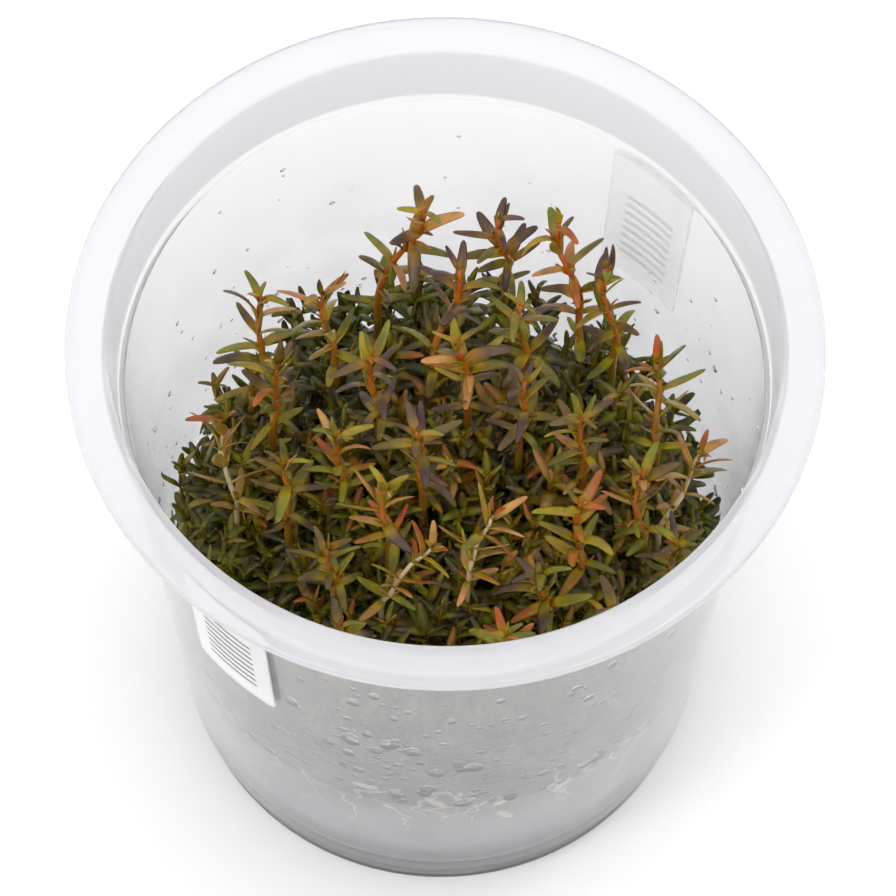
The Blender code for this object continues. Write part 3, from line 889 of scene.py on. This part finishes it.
def lay_roots():
    """Make the roots and the pale leaves as one piece."""
    generator = np.random.default_rng(SEED + 3)
    rows, sides = 14, 5
    share = np.linspace(0.0, 1.0, rows)
    start = generator.uniform(-1.0, 7.0, ROOTS)[:, None] + GEL_TOP
    height = start - generator.uniform(4.0, 13.0, ROOTS)[:, None] * share
    angle = generator.uniform(0.0, 2.0 * np.pi, ROOTS)[:, None]
    angle = angle + np.cumsum(generator.normal(0.0, 0.022, (ROOTS, rows)), axis=1)
    paths, _, _ = wall_frame(angle, height, 0.34)
    radii = generator.uniform(0.13, 0.24, ROOTS)[:, None] * (1.0 - 0.6 * share)
    threads = tubes(paths, radii, sides)

    angle = generator.uniform(0.0, 2.0 * np.pi, PALE_LEAVES)
    height = GEL_TOP + generator.uniform(-4.0, 7.0, PALE_LEAVES)
    origin, outward, around = wall_frame(angle, height, 0.40)
    tilt = generator.uniform(0.0, 2.0 * np.pi, PALE_LEAVES)[:, None]
    forward = around * np.cos(tilt) + UPWARDS * np.sin(tilt)
    length = generator.uniform(2.2, 4.0, PALE_LEAVES)
    leaf_rows, columns = 7, 6
    leaves = blades(origin, forward, outward, length, 0.22 * length, 0.1 + 0.0 * length,
                    generator.normal(0.0, 0.2, PALE_LEAVES), 0.1 + 0.0 * length, leaf_rows, columns)

    offset = ROOTS * rows * sides
    faces = grid_faces(ROOTS, rows, sides).tolist() + end_faces(ROOTS, rows, sides)
    leaf_faces = grid_faces(PALE_LEAVES, leaf_rows, columns).tolist()
    leaf_faces += end_faces(PALE_LEAVES, leaf_rows, columns)
    faces += [[number + offset for number in ring] for ring in leaf_faces]
    points = keep_inside(np.concatenate([threads.reshape(-1, 3), leaves.reshape(-1, 3)]), ROOT_GAP)
    return make_piece("pale_roots", points, faces, [build_pale()])


def build_pale():
    """Cream root tissue with faint pink blotches."""
    material, tree, shader = new_material("pale_root", Specular_IOR_Level=0.4, Roughness=0.45)
    colour, _ = add_blotches(tree, (0.78, 0.70, 0.50), (0.66, 0.42, 0.30), 240.0, 0.6)
    join(tree, colour, shader.inputs["Base Color"])
    add_bumps(tree, shader, 1800.0, 0.2)
    return material


pale_roots = lay_roots()
print("roots:", ROOTS, "and", PALE_LEAVES, "pale leaves in", len(pale_roots.data.polygons), "faces")

# %% [markdown]
# ## The labels
# Two strips of white paper are stuck to the wall, opposite each other. They carry plain grey
# rules where a real one has its print, and no lettering. A strip is a piece of a cone: the angle
# runs across it and the height runs up it, and the same two numbers are its UV map.

# %% Stick on the labels
LABEL_AZIMUTH = -41.0
LABEL_WIDTH = 13.5
LABEL_THICKNESS = 0.25
LABEL_OFFSET = 0.3
LABEL_CORNER = 1.2             # mm along the edge where a corner is cut
CORNER_CUT, CORNER_FROM = 0.6, 0.47
RULE_PITCH, RULE_START = 0.035, 0.026   # shares of the strip's height
RULES_ACROSS, RULES_UP = (0.20, 0.80), (0.14, 0.72)


def gate(tree, source, low, high):
    """One where a coordinate lies between two limits, else nought."""
    above = calculate(tree, "GREATER_THAN", source, low)
    return calculate(tree, "MULTIPLY", above, calculate(tree, "LESS_THAN", source, high))


def build_paper(name, through, ink_shade):
    """White paper with plain rules placed by the UV map; through is how much light it lets by."""
    material, tree, shader = new_material(name, Roughness=0.75, Transmission_Weight=through, IOR=1.08)
    place = tree.nodes.new("ShaderNodeUVMap")
    place.uv_map = "UVMap"
    split = tree.nodes.new("ShaderNodeSeparateXYZ")
    join(tree, place.outputs["UV"], split.inputs["Vector"])
    repeat = calculate(tree, "PINGPONG", split.outputs["Y"], RULE_PITCH)
    rules = gate(tree, repeat, RULE_START, 0.5)
    rules = calculate(tree, "MULTIPLY", rules, gate(tree, split.outputs["X"], *RULES_ACROSS))
    rules = calculate(tree, "MULTIPLY", rules, gate(tree, split.outputs["Y"], *RULES_UP))
    ink = tree.nodes.new("ShaderNodeRGB")
    ink.outputs[0].default_value = (ink_shade, ink_shade, ink_shade * 1.03, 1.0)
    colour, _ = add_blotches(tree, (0.97, 0.97, 0.97), (0.93, 0.93, 0.94), 120.0, 0.5)
    join(tree, mix_colours(tree, rules, colour, ink.outputs[0]), shader.inputs["Base Color"])
    return material


def stick_label(node, azimuth, papers):
    """Bend a strip round the wall: point = (r sin a, -r cos a, z), r following the wall."""
    low, high = (corner[2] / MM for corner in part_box(node))
    across, up = np.meshgrid(np.linspace(0.0, 1.0, 25), np.linspace(0.0, 1.0, 19), indexing="ij")
    height = low + (high - low) * up
    angle = math.radians(azimuth) + (across - 0.5) * LABEL_WIDTH / outer_radius(high)
    corner = np.clip(1.0 - np.minimum(across, 1 - across) * LABEL_WIDTH / LABEL_CORNER, 0, 1)
    height = height + (0.5 - up) * 2.0 * corner ** 2 * CORNER_CUT * (np.abs(up - 0.5) > CORNER_FROM)
    sheets = []
    for proud in (LABEL_OFFSET, LABEL_OFFSET + LABEL_THICKNESS):
        radius = outer_radius(height) + proud
        sheets.append(np.stack([radius * np.sin(angle), -radius * np.cos(angle), height], axis=-1))
    rows, columns = across.shape
    index = np.arange(rows * columns).reshape(rows, columns)
    outer = index + rows * columns
    faces = np.stack([outer[:-1, :-1], outer[1:, :-1], outer[1:, 1:], outer[:-1, 1:]], axis=-1)
    inner = np.stack([index[:-1, :-1], index[:-1, 1:], index[1:, 1:], index[1:, :-1]], axis=-1)
    rim = np.concatenate([index[:-1, 0], index[-1, :-1], index[:0:-1, -1], index[0, :0:-1]])
    ahead = np.roll(rim, -1)
    edge = np.stack([rim, ahead, ahead + rows * columns, rim + rows * columns], axis=-1)
    faces = np.concatenate([faces.reshape(-1, 4), inner.reshape(-1, 4), edge]).tolist()
    uv = np.tile(np.stack([across.ravel(), up.ravel()], axis=-1), (2, 1))
    points = np.concatenate([sheet.reshape(-1, 3) for sheet in sheets])
    cells = (rows - 1) * (columns - 1)
    picks = [0] * cells + [1] * (len(faces) - cells)
    return make_piece(f"paper_{node}", points, faces, papers, replaces=[node],
                      uv=uv, picks=picks)


paper = build_paper("label_paper", 0.35, 0.10)
thin_paper = build_paper("label_thin_paper", 0.95, 0.62)
labels = [stick_label("label_front", LABEL_AZIMUTH, [paper, thin_paper]),
          stick_label("label_back", LABEL_AZIMUTH + 180.0, [thin_paper, thin_paper])]
print("labels:", [piece.name for piece in labels])

# %% [markdown]
# ## Drops on the wall
# Moist air condenses on the inside of the wall, most of all on its front. Larger drops that have
# begun to run are longer than they are wide. A drop is half of a flattened ball, worked out in
# the wall's own directions: round it, up it and away from it. Light gathers at a drop's upper
# edge and leaves its lower edge dark, and both are painted on: its lower edge gets painted shade,
# and its upper faces a whiter, less clear finish as a painted highlight.

# %% Scatter the drops
FINE_DROPS = 420
FRONT_DROPS = 420
DROP_SEAT = 0.05   # mm that a drop reaches into the wall, so that no gap shows
DROP_HEIGHT = 0.45   # of its radius
PAINTED_HIGHLIGHT_FROM = 0.5    # height on the drop where its painted highlight starts


def scatter_drops(count, spread, largest, generator):
    """Lay domes on the wall's inside: height over it is h cos(u), reach along it is r sin(u).

    Their directions round the cup gather about the front with the given spread, in radians.
    """
    angle = np.radians(-90.0) + generator.normal(0.0, spread, count)
    climb = TOTAL_HEIGHT - LEDGE_DROP - GEL_TOP - 4.0
    height = GEL_TOP + 1.0 + climb * generator.beta(1.1, 2.0, count)
    size = 0.16 + largest * generator.beta(0.7, 3.8, count)
    long = 1.0 + generator.uniform(-0.35, 0.5, count) * (size > 0.5)
    centre, outward, around = wall_frame(angle, height, -DROP_SEAT)
    slope = (BODY_RADIUS_TOP - BODY_RADIUS_BOTTOM) / (TOTAL_HEIGHT - LEDGE_DROP - RIDGE_HEIGHT)
    upward = unit(outward * slope + UPWARDS)
    rows, columns = 5, 12
    rise = np.linspace(0.5 * np.pi, 0.12, rows)[None, :, None]
    turn = np.linspace(0.0, 2.0 * np.pi, columns, endpoint=False)[None, None, :]
    a = size[:, None, None] * np.sin(rise) * np.cos(turn)
    b = (size * long)[:, None, None] * np.sin(rise) * np.sin(turn)
    c = -DROP_HEIGHT * size[:, None, None] * np.cos(rise) * (1.0 + 0.0 * turn)
    points = (centre[:, None, None] + around[:, None, None] * a[..., None]
              + upward[:, None, None] * b[..., None] + outward[:, None, None] * c[..., None])
    faces = grid_faces(count, rows, columns)[:, ::-1]
    ends = [ring[::-1] for ring in end_faces(count, rows, columns)]
    high = (np.sin(rise) * np.sin(turn) + np.zeros((count, 1, 1))).ravel()
    # Faces high on each drop take the painted highlight.
    picks = np.append(high[faces].mean(axis=1) > PAINTED_HIGHLIGHT_FROM, np.zeros(len(ends)))
    return points.reshape(-1, 3), faces.tolist() + ends, {"high": high}, picks


def build_water(name, through, stops):
    """Water whose colour follows the height on the drop, as painted shade low on it and painted light
    high on it; through is how much light it lets by.
    """
    material, tree, shader = new_material(name, Transmission_Weight=through, IOR=1.33, Roughness=0.03)
    colour = ramp(tree, span(tree, read_value(tree, "high"), -1.0, 1.0), stops)
    colour, _ = add_blotches(tree, colour, (0.95, 0.97, 1.0), 700.0, 0.15)
    join(tree, colour, shader.inputs["Base Color"])
    add_bumps(tree, shader, 900.0, 0.05)
    return material


# Painted shade darkens each drop's lower edge, and a painted highlight whitens its upper faces.
water = build_water("water_painted_shade", 1.0, [(0.05, (0.08, 0.08, 0.09)), (0.28, (0.34, 0.35, 0.37)),
                                         (0.45, (0.94, 0.95, 0.97)), (1.0, (1.0, 1.0, 1.0))])
water_painted_highlight = build_water("water_painted_highlight", 0.10, [(0.0, (1.0, 1.0, 1.0)), (1.0, (0.97, 0.98, 1.0))])
drop_generator = np.random.default_rng(SEED + 2)
for name, count, spread, largest in (("fine_drops", FINE_DROPS, 1.6, 0.7),
                                     ("front_drops", FRONT_DROPS, 0.62, 1.5)):
    points, faces, values, picks = scatter_drops(count, spread, largest, drop_generator)
    make_piece(name, points, faces, [water, water_painted_highlight], values=values, picks=picks)
    print(name, count, "in", len(faces), "faces")

# %% [markdown]
# ## Light, floor and camera
# The cup was photographed from above the front edge, in soft white light on a white ground. The
# camera's place was worked out from the ellipses that the round edges make in the picture.

# %% Set the studio
FOCAL_PIXELS = 4620.0
FRAME_PIXELS = 896.0
SENSOR = 36.0
DISTANCE = 568.6
ELEVATION = math.radians(62.83)
ROLL = math.radians(1.10)
AIM = Vector((0.57, -15.31, TOTAL_HEIGHT))


def put_in_scene(name, data):
    """Make an object of its data and link it to the scene."""
    thing = bpy.data.objects.new(name, data)
    bpy.context.collection.objects.link(thing)
    return thing


def set_camera():
    """Stand the camera back from its aim, along a line raised above the horizon."""
    back = Vector((0.0, -math.cos(ELEVATION), math.sin(ELEVATION)))
    right = Vector((1.0, 0.0, 0.0))
    up = back.cross(right)
    right, up = (math.cos(ROLL) * right + math.sin(ROLL) * up,
                 -math.sin(ROLL) * right + math.cos(ROLL) * up)
    data = bpy.data.cameras.new("camera")
    data.sensor_width = SENSOR
    data.lens = FOCAL_PIXELS * SENSOR / FRAME_PIXELS
    data.clip_start = 0.01
    camera = put_in_scene("camera", data)
    place = (AIM + back * DISTANCE) * MM
    camera.matrix_world = Matrix.Translation(place) @ Matrix((right, up, back)).transposed().to_4x4()
    bpy.context.scene.camera = camera


def soft_light(name, place, size, watts):
    """Hang a square soft box that faces the cup."""
    data = bpy.data.lights.new(name, "AREA")
    data.size = size
    data.energy = watts
    lamp = put_in_scene(name, data)
    lamp.location = place
    lamp.rotation_euler = (Vector((0.0, 0.0, 0.05)) - Vector(place)).to_track_quat("-Z", "Y").to_euler()


def lay_floor():
    """Lay a wide pale floor under the cup."""
    material, _, _ = new_material("pale_floor", Base_Color=(0.99, 0.99, 0.99, 1), Roughness=0.9)
    half = 2.0
    data = bpy.data.meshes.new("floor")
    data.from_pydata([(-half, -half, 0), (half, -half, 0), (half, half, 0), (-half, half, 0)], [],
                     [(0, 1, 2, 3)])
    data.materials.append(material)
    put_in_scene("floor", data)


def set_world():
    """Fill the studio with even white light."""
    world = bpy.data.worlds.new("studio")
    bpy.context.scene.world = world
    world.use_nodes = True
    background = world.node_tree.nodes["Background"]
    background.inputs["Color"].default_value = (1.0, 1.0, 1.0, 1.0)
    background.inputs["Strength"].default_value = 1.12
    bpy.context.scene.view_settings.view_transform = "Standard"


set_camera()
set_world()
lay_floor()
soft_light("key", (-0.45, -0.35, 0.75), 0.22, 1.2)
soft_light("fill", (0.55, 0.30, 0.60), 0.30, 0.8)
print("camera, floor and lights are set")
